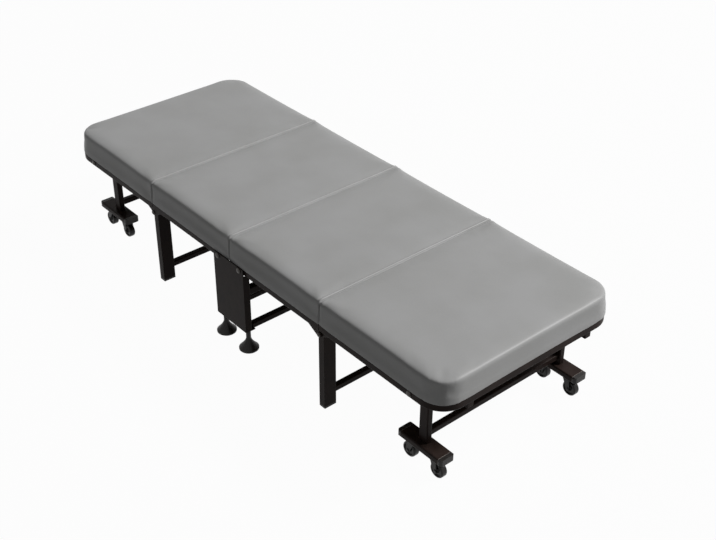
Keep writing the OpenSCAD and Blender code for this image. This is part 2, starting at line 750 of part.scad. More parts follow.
module caster_fork(place) color(PLASTIC) caster_place(place) {
    race_radius = race_diameter / 2;
    for (side = [0, 1]) mirror([0, side, 0])
        upright_slab(-fork_outer, -fork_inner) fork_side_profile();
    difference() {
        translate([-race_diameter * 0.3, -fork_outer, fork_top - fork_plate])
            cube([race_diameter * 0.66, 2 * fork_outer, fork_plate]);
        pin([caster_trail, wheel_radius], wheel_radius + fork_gap, -fork_inner, fork_inner);
    }
    translate([0, 0, fork_top]) rotate_extrude() polygon([
        [0, 0], [race_radius * 0.8, 0], [race_radius, race_height * 0.3],
        [race_radius, race_height * 0.7], [race_radius * 0.75, race_height - race_gap],
        [0, race_height - race_gap]]);
    translate([0, 0, fork_top]) cylinder(r = stem_diameter / 2, h = stem_top - fork_top);
    pin([caster_trail, wheel_radius], axle_pin_diameter / 2, -fork_outer, fork_outer);
    for (side = [0, 1]) mirror([0, side, 0])
        pin([caster_trail, wheel_radius], axle_boss_radius * 0.8,
            -fork_outer - rivet_height, -fork_outer);
}

// Wheel with a rounded tread, recessed sides and a hub, revolved round its axle
module caster_wheel(place) color(PLASTIC) caster_place(place) {
    half = wheel_width / 2;
    bore = axle_pin_diameter / 2 + running_clearance;
    rim = wheel_radius - tyre_wall;
    steps = 4;
    tread = [for (side = [1, -1], i = [0:steps]) let (
        a = side > 0 ? 90 - 90 * i / steps : -90 * i / steps)
        [wheel_radius - tread_radius + tread_radius * cos(a),
         side * (half - tread_radius) + tread_radius * sin(a)]];
    translate([caster_trail, 0, wheel_radius]) rotate([90, 0, 0]) rotate_extrude()
        polygon(concat(
            [[bore, half], [hub_radius, half], [hub_radius + wheel_recess / 2, half - wheel_recess],
             [rim - wheel_recess / 2, half - wheel_recess], [rim, half]],
            tread,
            [[rim, -half], [rim - wheel_recess / 2, wheel_recess - half],
             [hub_radius + wheel_recess / 2, wheel_recess - half], [hub_radius, -half],
             [bore, -half]]));
}

center_plates();
center_cross_tubes();
center_pivot_bolts();
center_pivot_spacers();
for (f = FEET)
    levelling_foot(f);
left() frame_bend();  // frame_bend_a
left() outer_cross_tubes();  // cross_tubes_a
left() outer_base_board();  // base_board_a
left() outer_pad();  // pad_a
left() pivot_bolts();  // pivot_bolts_a
left() side_rails();  // side_rails_b
left() inner_cross_tubes();  // cross_tubes_b
left() inner_base_board();  // base_board_b
left() inner_pad();  // pad_b
left() hinge_bolts();  // hinge_bolts_b
side_rails();  // side_rails_c
inner_cross_tubes();  // cross_tubes_c
inner_base_board();  // base_board_c
inner_pad();  // pad_c
hinge_bolts();  // hinge_bolts_c
frame_bend();  // frame_bend_d
outer_cross_tubes();  // cross_tubes_d
outer_base_board();  // base_board_d
outer_pad();  // pad_d
pivot_bolts();  // pivot_bolts_d
left() leg_posts();  // leg_posts_left
left() leg_crossbar();  // leg_crossbar_left
left() leg_caps();  // leg_caps_left
leg_posts();  // leg_posts_right
leg_crossbar();  // leg_crossbar_right
leg_caps();  // leg_caps_right
left() end_uprights();  // end_uprights_left
left() end_crossbar();  // end_crossbar_left
left() end_axle();  // end_axle_left
left() foot_bars();  // foot_bars_left
left() foot_bar_caps();  // foot_bar_caps_left
end_uprights();  // end_uprights_right
end_crossbar();  // end_crossbar_right
end_axle();  // end_axle_right
foot_bars();  // foot_bars_right
foot_bar_caps();  // foot_bar_caps_right
for (c = CASTERS) {
    caster_fork(c);
    caster_wheel(c);
}
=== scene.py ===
# %% [markdown]
# # A folding bed with four pads
# The construction is ready: tubes, plates, hinges, legs and casters are already solids at their
# real size. This lesson gives them their finishes, sews the four foam pads that a plain solid
# can't show, and lights it all like a catalogue picture.

# %% Open the frame
import math

import bmesh
import bpy
from mathutils import Matrix, Vector, noise


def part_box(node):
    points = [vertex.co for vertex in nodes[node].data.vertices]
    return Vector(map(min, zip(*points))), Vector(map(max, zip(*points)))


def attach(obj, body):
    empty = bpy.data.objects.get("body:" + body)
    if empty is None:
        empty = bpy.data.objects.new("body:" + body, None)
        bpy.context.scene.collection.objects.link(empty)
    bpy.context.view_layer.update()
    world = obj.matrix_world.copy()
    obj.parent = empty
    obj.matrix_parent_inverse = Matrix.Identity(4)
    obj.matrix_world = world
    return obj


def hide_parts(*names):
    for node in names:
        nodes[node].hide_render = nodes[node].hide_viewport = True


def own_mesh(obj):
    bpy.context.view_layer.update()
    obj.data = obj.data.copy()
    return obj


MM = 0.001
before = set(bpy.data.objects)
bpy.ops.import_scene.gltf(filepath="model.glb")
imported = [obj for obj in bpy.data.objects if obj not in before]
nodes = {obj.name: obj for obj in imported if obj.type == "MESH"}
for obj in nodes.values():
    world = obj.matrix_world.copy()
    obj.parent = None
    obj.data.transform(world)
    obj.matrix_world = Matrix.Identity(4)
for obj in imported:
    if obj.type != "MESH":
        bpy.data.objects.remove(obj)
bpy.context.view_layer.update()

# %% [markdown]
# ## The camera
# The bed is seen from above its near right corner. The place, the angles and the lens were
# found by matching seams, feet and casters with the picture. Building the camera's matrix from
# its own three axes is surer than stacking rotations, because a small roll stays a small roll.

# %% Camera
CAMERA_PLACE = Vector((2.6141, -2.0700, 2.3833))
CAMERA_YAW = math.radians(49.389)
CAMERA_PITCH = math.radians(34.148)
CAMERA_ROLL = math.radians(0.3806)
LENS_MM = 60.53
SENSOR_MM = 36
SIGHT_M = 30

forward = Vector((-math.sin(CAMERA_YAW) * math.cos(CAMERA_PITCH),
                  math.cos(CAMERA_YAW) * math.cos(CAMERA_PITCH), -math.sin(CAMERA_PITCH)))
level = Vector((math.cos(CAMERA_YAW), math.sin(CAMERA_YAW), 0))
upward = level.cross(forward)
right = level * math.cos(CAMERA_ROLL) + upward * math.sin(CAMERA_ROLL)
up = upward * math.cos(CAMERA_ROLL) - level * math.sin(CAMERA_ROLL)

camera = bpy.data.objects.new("camera", bpy.data.cameras.new("camera"))
bpy.context.scene.collection.objects.link(camera)
camera.matrix_world = Matrix((right, up, -forward)).transposed().to_4x4()
camera.location = CAMERA_PLACE
camera.data.lens = LENS_MM
camera.data.sensor_width = SENSOR_MM
camera.data.sensor_fit = "HORIZONTAL"
camera.data.clip_end = SIGHT_M
bpy.context.scene.camera = camera

# %% [markdown]
# ## Colours and nodes
# Colours are written as the hex values that a colour picker shows, so one function turns them
# into the linear numbers that the shader works with. A second function adds a node, sets its
# values and links its inputs in one call, which keeps each material short enough to read.

# %% Colour and node helpers


def rgb(code):
    """Linear red, green, blue and alpha of a hex colour."""
    parts = [int(code[i:i + 2], 16) / 255 for i in (1, 3, 5)]
    return tuple(c / 12.92 if c <= 0.04045 else ((c + 0.055) / 1.055) ** 2.4 for c in parts) + (1,)


def add(tree, kind, settings=None, **inputs):
    """Adds a shader node. Its inputs are values, or sockets of other nodes."""
    made = tree.nodes.new(kind)
    for name, value in (settings or {}).items():
        setattr(made, name, value)
    for name, value in inputs.items():
        key = int(name[1:]) if name[0] == "i" and name[1:].isdigit() else name.replace("_", " ")
        if isinstance(value, bpy.types.NodeSocket):
            tree.links.new(value, made.inputs[key])
        else:
            made.inputs[key].default_value = value
    return made


def new_material(name):
    """An empty material with its output and a principled shader."""
    material = bpy.data.materials.new(name)
    material.use_nodes = True
    tree = material.node_tree
    tree.nodes.clear()
    shader = add(tree, "ShaderNodeBsdfPrincipled")
    tree.links.new(shader.outputs["BSDF"],
                   add(tree, "ShaderNodeOutputMaterial").inputs["Surface"])
    return material, tree, shader


def ramp(tree, factor, *stops):
    """A colour ramp through (position, hex) stops."""
    made = add(tree, "ShaderNodeValToRGB", Fac=factor)
    elements = made.color_ramp.elements
    for i, (position, code) in enumerate(stops):
        element = elements[i] if i < 2 else elements.new(position)
        element.position = position
        element.color = rgb(code)
    return made.outputs["Color"]


def size(mm):
    """Scale of a noise texture whose blotches are about this many millimetres wide."""
    return 1000 / mm


def place(tree):
    """Where a point of the surface lies on the piece, in metres."""
    return add(tree, "ShaderNodeTexCoord").outputs["Object"]


# %% [markdown]
# ## Powder-coated steel
# Tubes and plates are mild steel with a baked polyester powder coat, black with a hint of brown.
# The powder melts into a skin with a faint orange peel a few millimetres wide and a finer grain,
# and it is semi-gloss, so long edges draw bright lines. A little dust makes the sheen uneven.
# Drawn tube has edges that are rounded by its wall. The solids have them sharp, and a bevel node
# bends the light there as the real edge does, without a single extra face. Where its normal
# leaves the face's own, there is an edge, and the same node says where to paint it pale: a little
# on every tube, where shoes and floors have rubbed the paint, and most on the foot bars, where
# the pale edge is a painted highlight for the bright line that their gloss would draw.

# %% Powder coat
EDGE_ROUND = 3 * MM
# Pale edge tone: rubbed paint on every tube, and a painted highlight on the foot bars.
PALE_EDGE_WEAR_AND_HIGHLIGHT = "#a39c97"


def powder_coat(name, dark, light, gloss, edge_wear_and_highlight):
    """Black paint. The last argument says how much of the pale edge tone an edge shows: a little
    of it is rubbed paint, and much of it is a painted highlight.
    """
    material, tree, shader = new_material(name)
    where = place(tree)
    cloud = add(tree, "ShaderNodeTexNoise", Vector=where, Scale=size(60), Detail=3.0)
    paint = ramp(tree, cloud.outputs["Fac"], (0.35, dark), (0.7, light))
    soft_edge = add(tree, "ShaderNodeBevel", {"samples": 6}, Radius=EDGE_ROUND)
    bend = add(tree, "ShaderNodeVectorMath", {"operation": "DOT_PRODUCT"},
               i0=soft_edge.outputs["Normal"],
               i1=add(tree, "ShaderNodeNewGeometry").outputs["Normal"])
    # How pale an edge is painted: a little is rubbed paint, and more is a painted highlight.
    wear_and_highlight_mask = add(tree, "ShaderNodeMapRange", Value=bend.outputs["Value"], From_Min=0.995,
                 From_Max=0.86, To_Max=edge_wear_and_highlight)
    paint_with_wear_and_highlight = add(tree, "ShaderNodeMix", {"data_type": "RGBA"}, i0=wear_and_highlight_mask.outputs["Result"],
                  i6=paint, i7=rgb(PALE_EDGE_WEAR_AND_HIGHLIGHT))
    tree.links.new(paint_with_wear_and_highlight.outputs[2], shader.inputs["Base Color"])
    grain = add(tree, "ShaderNodeTexNoise", Vector=where, Scale=size(9), Detail=2.0)
    rough = add(tree, "ShaderNodeMapRange", Value=grain.outputs["Fac"], To_Min=gloss - 0.06,
                To_Max=gloss + 0.08)
    tree.links.new(rough.outputs["Result"], shader.inputs["Roughness"])
    peel = add(tree, "ShaderNodeTexNoise", Vector=where, Scale=size(2.5), Detail=1.0)
    bump = add(tree, "ShaderNodeBump", Height=peel.outputs["Fac"], Strength=0.12,
               Distance=0.15 * MM, Normal=soft_edge.outputs["Normal"])
    tree.links.new(bump.outputs["Normal"], shader.inputs["Normal"])
    shader.inputs["Specular IOR Level"].default_value = 0.04
    return material


coat = powder_coat("powder_coat_black", "#1e1715", "#29201d", 0.36, 0.06)
# On the foot bars the pale edges are mostly a painted highlight, the bright line along their upper
# edges.
coat_wear_and_highlight = powder_coat("powder_coat_foot_bars", "#251d1a", "#322926", 0.34, 0.75)

# %% [markdown]
# ## Black zinc
# Bolts, nuts and spacers are zinc plated and then blackened in a chromate bath. That leaves a
# thin, dark and slightly cloudy metal skin over fine turning marks. A metal's colour is its
# reflection, so the reflection is kept dark, and only the roughness and the tint vary.

# %% Black zinc
zinc, tree, shader = new_material("black_zinc_plate")
where = place(tree)
cloud = add(tree, "ShaderNodeTexNoise", Vector=where, Scale=size(6), Detail=4.0)
tree.links.new(ramp(tree, cloud.outputs["Fac"], (0.3, "#2e2c2b"), (0.7, "#474442")),
               shader.inputs["Base Color"])
shader.inputs["Metallic"].default_value = 1.0
rough = add(tree, "ShaderNodeMapRange", Value=cloud.outputs["Fac"], To_Min=0.34, To_Max=0.48)
tree.links.new(rough.outputs["Result"], shader.inputs["Roughness"])
marks = add(tree, "ShaderNodeTexNoise", Vector=where, Scale=size(1.2), Detail=1.0)
bump = add(tree, "ShaderNodeBump", Height=marks.outputs["Fac"], Strength=0.1, Distance=0.1 * MM)
tree.links.new(bump.outputs["Normal"], shader.inputs["Normal"])

# %% [markdown]
# ## Moulded plastic
# Feet, tube caps and casters are injection-moulded polypropylene and nylon. The mould is spark
# eroded, which leaves an even grain under a millimetre wide. It scatters the light, so the
# plastic looks softer and a little greyer than the paint.

# %% Moulded plastic


def moulded_plastic(name, dark, light, gloss, grain_mm):
    """Plastic with a spark-eroded grain of a given width."""
    material, tree, shader = new_material(name)
    where = place(tree)
    cloud = add(tree, "ShaderNodeTexNoise", Vector=where, Scale=size(25), Detail=2.0)
    tree.links.new(ramp(tree, cloud.outputs["Fac"], (0.3, dark), (0.7, light)),
                   shader.inputs["Base Color"])
    grain = add(tree, "ShaderNodeTexVoronoi", Vector=where, Scale=size(grain_mm))
    bump = add(tree, "ShaderNodeBump", Height=grain.outputs["Distance"], Strength=0.25,
               Distance=0.08 * MM)
    tree.links.new(bump.outputs["Normal"], shader.inputs["Normal"])
    rough = add(tree, "ShaderNodeMapRange", Value=cloud.outputs["Fac"], To_Min=gloss - 0.04,
                To_Max=gloss + 0.06)
    tree.links.new(rough.outputs["Result"], shader.inputs["Roughness"])
    shader.inputs["Specular IOR Level"].default_value = 0.2
    return material


polypropylene = moulded_plastic("polypropylene_black", "#211f1e", "#2b2928", 0.38, 0.9)
wheel_nylon = moulded_plastic("nylon_wheel_black", "#1b1918", "#242221", 0.3, 1.4)

# %% [markdown]
# ## Plywood
# The boards under the foam are sanded poplar plywood. The face veneer's grain runs along the
# bed: narrow across it and stretched a dozen times along it. On the sawn edges the plies show as
# light and dark layers just over a millimetre thick, which a saw wave along Z draws.

# %% Plywood
plywood, tree, shader = new_material("poplar_plywood")
where = place(tree)
grain_space = add(tree, "ShaderNodeMapping", Vector=where, Scale=(0.07, 1, 1))
warp = add(tree, "ShaderNodeTexNoise", Vector=grain_space.outputs["Vector"], Scale=size(14),
           Detail=5.0, Distortion=0.6)
face = ramp(tree, warp.outputs["Fac"], (0.3, "#b48f5f"), (0.5, "#c7a677"), (0.75, "#a98353"))
plies = add(tree, "ShaderNodeTexWave", {"bands_direction": "Z", "wave_profile": "SIN"},
            Vector=where, Scale=110.0, Distortion=0.2)
edge = ramp(tree, plies.outputs["Fac"], (0.4, "#8b673d"), (0.6, "#c9aa7c"))
facing = add(tree, "ShaderNodeSeparateXYZ",
             Vector=add(tree, "ShaderNodeNewGeometry").outputs["Normal"])
flat = add(tree, "ShaderNodeMath", {"operation": "ABSOLUTE"}, i0=facing.outputs["Z"])
mixed = add(tree, "ShaderNodeMix", {"data_type": "RGBA"}, i0=flat.outputs["Value"], i6=edge,
            i7=face)
tree.links.new(mixed.outputs[2], shader.inputs["Base Color"])
shader.inputs["Roughness"].default_value = 0.65
bump = add(tree, "ShaderNodeBump", Height=warp.outputs["Fac"], Strength=0.15, Distance=0.3 * MM)
tree.links.new(bump.outputs["Normal"], shader.inputs["Normal"])

# %% [markdown]
# ## Cover cloth
# The pads wear a smooth, matt polyester cloth in mid grey. Its threads are half a millimetre
# apart, far too fine for this distance, so the weave is drawn 1.6 mm apart and very shallow.
# Three sine waves along X, Y and Z cross each other, so the weave runs on over every edge
# without a seam in the pattern. Broad soft blotches keep the tone from looking printed.

# %% Cover cloth
THREAD_MM = 1.6


def weave(tree, where):
    """Height of a plain weave that follows the surface whichever way it faces."""
    axes = add(tree, "ShaderNodeSeparateXYZ", Vector=where)
    waves = []
    for axis in "XYZ":
        turn = add(tree, "ShaderNodeMath", {"operation": "MULTIPLY"}, i0=axes.outputs[axis],
                   i1=math.pi / (THREAD_MM * MM))
        waves.append(add(tree, "ShaderNodeMath", {"operation": "SINE"},
                         i0=turn.outputs["Value"]).outputs["Value"])
    total = None
    for a, b in ((0, 1), (0, 2), (1, 2)):
        crossing = add(tree, "ShaderNodeMath", {"operation": "MULTIPLY"}, i0=waves[a], i1=waves[b])
        total = crossing.outputs["Value"] if total is None else add(
            tree, "ShaderNodeMath", {"operation": "ADD"}, i0=total,
            i1=crossing.outputs["Value"]).outputs["Value"]
    return total


def cloth(name, dark, light):
    """Woven cloth in two close tones."""
    material, tree, shader = new_material(name)
    where = place(tree)
    blotch = add(tree, "ShaderNodeTexNoise", Vector=where, Scale=size(180), Detail=2.0)
    thread = add(tree, "ShaderNodeTexNoise", Vector=where, Scale=size(3), Detail=2.0)
    blend = add(tree, "ShaderNodeMath", {"operation": "MULTIPLY_ADD"},
                i0=thread.outputs["Fac"], i1=0.35, i2=-0.17)
    tone = add(tree, "ShaderNodeMath", {"operation": "ADD"}, i0=blotch.outputs["Fac"],
               i1=blend.outputs["Value"])
    tree.links.new(ramp(tree, tone.outputs["Value"], (0.3, dark), (0.7, light)),
                   shader.inputs["Base Color"])
    bump = add(tree, "ShaderNodeBump", Height=weave(tree, where), Strength=0.15,
               Distance=0.12 * MM)
    tree.links.new(bump.outputs["Normal"], shader.inputs["Normal"])
    shader.inputs["Roughness"].default_value = 0.45
    shader.inputs["Specular IOR Level"].default_value = 0.2
    shader.inputs["Sheen Weight"].default_value = 0.06
    shader.inputs["Sheen Roughness"].default_value = 0.45
    return material


cover = cloth("polyester_cover_grey", "#90908f", "#979797")
# The piping's lighter tone is real piping in part, and in part a painted highlight: the bright
# line that a lit seam edge shows.
piping = cloth("polyester_piping_painted_highlight", "#bababa", "#c2c2c1")

# %% [markdown]
# ## Dress the solids
# Each solid keeps its shape and gets the finish of what it is made of. Its name says which.

# %% Dress the solids
FINISHES = (
    ("center_pivot_bolts", zinc), ("center_pivot_spacers", zinc), ("hinge_bolts", zinc),
    ("pivot_bolts", zinc), ("base_board", plywood), ("foot_bars", coat_wear_and_highlight),
    ("caster_wheel", wheel_nylon), ("caster_fork", polypropylene), ("leg_caps", polypropylene),
    ("foot_bar_caps", polypropylene), ("levelling_foot", polypropylene), ("pad", cover),
)
for name, solid in nodes.items():
    finish = next((m for start, m in FINISHES if name.startswith(start)), coat)
    solid.data.materials.clear()
    solid.data.materials.append(finish)
print("dressed", len(nodes), "solids")

# %% [markdown]
# ## The pads
# Each pad is a slab of foam on a plywood board, with a cover drawn tight over it. It could be a
# box with rounded edges, but a tight cover does more: it bulges where nothing holds it and stays
# flat where it is fixed. So a block that is a little too small is rounded, remeshed into even
# 6 mm squares and blown up by the cloth simulation, like a pillow in its cover. The lower edge is
# pinned, because there the cover is stapled to the board.
#
# The halves of the bed mirror each other, so two blocks are enough. A weight on each edge says
# how much of the full rounding it gets: the long sides most, the end less, a seam least.

# %% Foam blocks
SIDE_ROUND = 20 * MM
END_ROUND = 12 * MM
SEAM_ROUND = 4 * MM
HEM_ROUND = 3 * MM
SEAM_CORNER = 4 * MM
END_CORNER = 85 * MM
SLACK = Vector((0.5, 2.5, 4.0)) * MM
CORNER_SEGMENTS = 10
EDGE_SEGMENTS = 6
SAME_PLACE = 0.01 * MM


def link(name, mesh):
    """An object at the origin that shows a mesh."""
    piece = bpy.data.objects.new(name, mesh)
    bpy.context.scene.collection.objects.link(piece)
    return piece


def baked(piece):
    """Replaces an object's mesh by what its modifiers make of it."""
    made = piece.evaluated_get(bpy.context.evaluated_depsgraph_get())
    mesh = bpy.data.meshes.new_from_object(made)
    piece.modifiers.clear()
    piece.data = mesh


def foam_block(name, node, at_end):
    """A block with the solid's foot and a slightly smaller top, and with rounded edges."""
    low, high = (Vector(corner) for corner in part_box(node))
    middle = (low.x + high.x) / 2
    block = bmesh.new()
    bmesh.ops.create_cube(block, size=1.0)
    bmesh.ops.scale(block, vec=high - low, verts=block.verts)
    bmesh.ops.translate(block, vec=(low + high) / 2, verts=block.verts)
    for vertex in block.verts:
        if vertex.co.z > low.z + SEAM_ROUND:
            shrink = SLACK.y if at_end and vertex.co.x > middle else SLACK.x
            vertex.co.x -= math.copysign(shrink, vertex.co.x - middle)
            vertex.co.y -= math.copysign(SLACK.y, vertex.co.y)
            vertex.co.z -= SLACK.z
    for outer, radius in ((False, SEAM_CORNER), (True, END_CORNER if at_end else SEAM_CORNER)):
        upright = [e for e in block.edges if (e.verts[0].co.x > middle) == outer
                   and abs(e.verts[0].co.z - e.verts[1].co.z) > SEAM_ROUND]
        bmesh.ops.bevel(block, geom=upright, offset=radius, segments=CORNER_SEGMENTS,
                        profile=0.5, affect="EDGES", material=-1)
    weight = block.edges.layers.float.new("bevel_weight_edge")
    for edge in block.edges:
        ends = [v.co for v in edge.verts]
        if abs(ends[0].z - ends[1].z) > SEAM_ROUND:
            continue
        across = abs(ends[0].x - ends[1].x) < SAME_PLACE
        seam = across and (ends[0].x < middle or not at_end)
        radius = (HEM_ROUND if ends[0].z < (low.z + high.z) / 2 else SEAM_ROUND if seam
                  else END_ROUND if across else SIDE_ROUND)
        edge[weight] = radius / SIDE_ROUND
    mesh = bpy.data.meshes.new(name)
    block.to_mesh(mesh)
    block.free()
    piece = link(name, mesh)
    edges = piece.modifiers.new("edges", "BEVEL")
    edges.limit_method = "WEIGHT"
    edges.width = SIDE_ROUND
    edges.segments = EDGE_SEGMENTS
    baked(piece)
    return piece


outer_block = foam_block("cushion_d", "pad_d", True)
inner_block = foam_block("cushion_c", "pad_c", False)
for piece in (outer_block, inner_block):
    print(piece.name, "starts", [round(n * 1000) for n in piece.dimensions], "mm")

# %% [markdown]
# ## Blown up in their covers
# The voxel remesh gives the cloth even squares to work with. Before the simulation the long
# sides and the end are drawn in by a few millimetres between their corners, as a cover's own
# tension does. Pressure then pushes the cover out. No point may move further than a set
# distance, nor leave the space of the solid. The small creases that the pressure leaves are
# smoothed, away from the seams.

# %% Cloth
VOXEL = 6 * MM
PRESSURE = 4.0
CLOTH_QUALITY = 5
CLOTH_FRAMES = 20
MOST_SWELL = 4 * MM
SIDE_PULL = 2.5 * MM
PINNED_ABOVE_HEM = 8 * MM
CREASE_MARGIN = 12 * MM
CREASE_STEPS = 6
PULL_STARTS = 0.2


def draw_in(piece, node, at_end):
    """Pulls the sides, and the end at the foot of the bed, in between their corners."""
    low, high = (Vector(corner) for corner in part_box(node))
    half = (high - low) / 2
    middle = (high + low) / 2
    for vertex in piece.data.vertices:
        along = (vertex.co.x - middle.x) / half.x
        across = vertex.co.y / half.y
        pull = SIDE_PULL * min(1, max(0, (vertex.co.z - low.z) / half.z - PULL_STARTS))
        vertex.co.y -= pull * across * max(0, 1 - along ** 2)
        if at_end and along > 0:
            vertex.co.x -= pull * along * max(0, 1 - across ** 2)


def blow_up(piece, node):
    """Swells a piece with the cloth simulation, within a limit and within its solid's space."""
    low, high = (Vector(corner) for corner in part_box(node))
    start = [v.co.copy() for v in piece.data.vertices]
    seated = piece.vertex_groups.new(name="seated")
    pinned = [i for i, co in enumerate(start) if co.z < low.z + PINNED_ABOVE_HEM]
    seated.add(pinned, 1.0, "REPLACE")
    cloth_step = piece.modifiers.new("cover", "CLOTH")
    rules = cloth_step.settings
    rules.quality = CLOTH_QUALITY
    rules.use_pressure = True
    rules.uniform_pressure_force = PRESSURE
    rules.effector_weights.gravity = 0
    rules.vertex_group_mass = seated.name
    cloth_step.collision_settings.use_collision = False
    for step in range(1, CLOTH_FRAMES + 1):
        bpy.context.scene.frame_set(step)
    swollen = piece.evaluated_get(bpy.context.evaluated_depsgraph_get()).data
    most = 0
    for vertex, before, after in zip(piece.data.vertices, start, swollen.vertices):
        move = after.co - before
        most = max(most, move.length)
        if move.length > MOST_SWELL:
            move *= MOST_SWELL / move.length
        spot = before + move
        vertex.co = [min(max(spot[i], low[i]), high[i]) for i in range(3)]
    piece.modifiers.clear()
    piece.vertex_groups.clear()
    bpy.context.scene.frame_set(1)
    print(piece.name, len(start), "points, the farthest wanted to move",
          round(most * 1000, 1), "mm")


def press_creases(piece, node, at_end):
    """Smooths the small creases that the pressure left, but not the edges at a seam."""
    low, high = (Vector(corner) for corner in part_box(node))
    cover_mesh = bmesh.new()
    cover_mesh.from_mesh(piece.data)
    loose = [v for v in cover_mesh.verts if v.co.z > low.z + PINNED_ABOVE_HEM
             and v.co.x > low.x + CREASE_MARGIN and (at_end or v.co.x < high.x - CREASE_MARGIN)]
    for step in range(CREASE_STEPS):
        bmesh.ops.smooth_vert(cover_mesh, verts=loose, factor=0.5, use_axis_x=True,
                              use_axis_y=True, use_axis_z=True)
    cover_mesh.to_mesh(piece.data)
    cover_mesh.free()


for piece, node, at_end in ((outer_block, "pad_d", True), (inner_block, "pad_c", False)):
    even = piece.modifiers.new("even", "REMESH")
    even.mode = "VOXEL"
    even.voxel_size = VOXEL
    baked(piece)
    draw_in(piece, node, at_end)
    blow_up(piece, node)
    press_creases(piece, node, at_end)

# %% [markdown]
# ## Straight ends and a straight hem
# The remesh and the pressure round every edge, but at a seam the cover is sewn square, and below
# it is pulled straight down over the board's edge. So a plane cuts the round part off, with the
# small folds that the simulation leaves above a pinned edge. The rim that is left is extruded
# straight on, step by step and a little inwards, and then closed. At the hem the rim goes down,
# in and up to the board again, which leaves a lip as thick as the cloth round the tube's upper
# edge. Between the two rails' ends, at the middle of the bed, there is no tube under the cloth,
# and the lip hangs lower and covers the gap over the stand's side plate.

# %% Square ends and hem
CUT_FROM_SEAM = 12 * MM
SEAM_STEPS = ((4 * MM, 0), (1.6 * MM, 0.5 * MM), (0.4 * MM, 1.8 * MM), (0, 3.6 * MM))
HEM_HEIGHT = 16 * MM
HEM_DROP = 2.4 * MM
CENTRE_DROP = 6 * MM
RAIL_START = 38 * MM
CLOTH_THICKNESS = 0.8 * MM


def piece_box(piece):
    """Lowest and highest corner of a piece's bounding box."""
    corners = [Vector(c) for c in piece.bound_box]
    return (Vector([min(c[i] for c in corners) for i in range(3)]),
            Vector([max(c[i] for c in corners) for i in range(3)]))


def square_off(piece, axis, cut_at, direction, steps, sharp=False):
    """Cuts a piece across an axis (0 X, 2 Z) and extrudes the rim to (place, inward) steps.

    A place is a number on that axis, or a function that gives it for a point of the rim.
    """
    shell = bmesh.new()
    shell.from_mesh(piece.data)
    plane = Vector((0, 0, 0))
    plane[axis] = cut_at
    facing = Vector((0, 0, 0))
    facing[axis] = -direction
    cut = bmesh.ops.bisect_plane(shell, geom=shell.verts[:] + shell.edges[:] + shell.faces[:],
                                 plane_co=plane, plane_no=facing, clear_inner=True)["geom_cut"]
    rim = [part for part in cut if isinstance(part, bmesh.types.BMEdge)]
    sides = [i for i in range(3) if i != axis]
    places = [v.co for edge in rim for v in edge.verts]
    least = [min(co[i] for co in places) for i in range(3)]
    most = [max(co[i] for co in places) for i in range(3)]
    middle = Vector([(a + b) / 2 for a, b in zip(least, most)])
    half = Vector([(b - a) / 2 for a, b in zip(least, most)])
    for spot, inward in steps:
        made = bmesh.ops.extrude_edge_only(shell, edges=rim)["geom"]
        corners = {part for part in made if isinstance(part, bmesh.types.BMVert)}
        rim = [part for part in made if isinstance(part, bmesh.types.BMEdge)
               and set(part.verts) <= corners]
        for edge in rim:
            edge.smooth = not sharp
        for vertex in corners:
            vertex.co[axis] = spot(vertex.co) if callable(spot) else spot
            for i in sides:
                vertex.co[i] -= (vertex.co[i] - middle[i]) / half[i] * inward
    for edge in rim:
        edge.smooth = False
    bmesh.ops.edgeloop_fill(shell, edges=rim)
    bmesh.ops.recalc_face_normals(shell, faces=shell.faces)
    print(piece.name, "rim of", len(rim), "edges, open edges left:",
          sum(edge.is_boundary for edge in shell.edges))
    shell.to_mesh(piece.data)
    shell.free()


def square_ends(piece, node, at_end):
    """Straight ends at the seams, then a straight hem with its lip."""
    low, high = (Vector(corner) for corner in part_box(node))
    for seam, direction in ((low.x, -1), (high.x, 1)):
        if direction < 0 or not at_end:
            square_off(piece, 0, seam - direction * CUT_FROM_SEAM, direction,
                       [(seam - direction * step, inward) for step, inward in SEAM_STEPS])
    piece.data.update()
    drawn_in = high.y - piece_box(piece)[1].y

    def lip(co):
        """Height of the lip's lower edge under a point of the rim."""
        return low.z - (CENTRE_DROP if abs(co.x) < RAIL_START else HEM_DROP)

    square_off(piece, 2, low.z + HEM_HEIGHT, -1,
               ((low.z, -drawn_in), (lip, 0), (lip, CLOTH_THICKNESS), (low.z, 0)), sharp=True)


# %% [markdown]
# ## Piping at the seams
# Where two pads meet, the edge of one cover is sewn over a cord. The cord is sunk into the foam,
# so only a low bead of it shows. This piping is cut from a lighter cloth, and its pale tone is a
# painted highlight: it draws the bright line across the bed that a lit seam edge shows. Its path
# is
# taken from the cover itself: a plane cuts the mesh just short of its end, and the outline that it
# finds there becomes a curve with a round section.

# %% Piping
PIPING_RADIUS = 5 * MM
PIPING_FROM_END = 4.6 * MM
PIPING_SUNK = 4 * MM


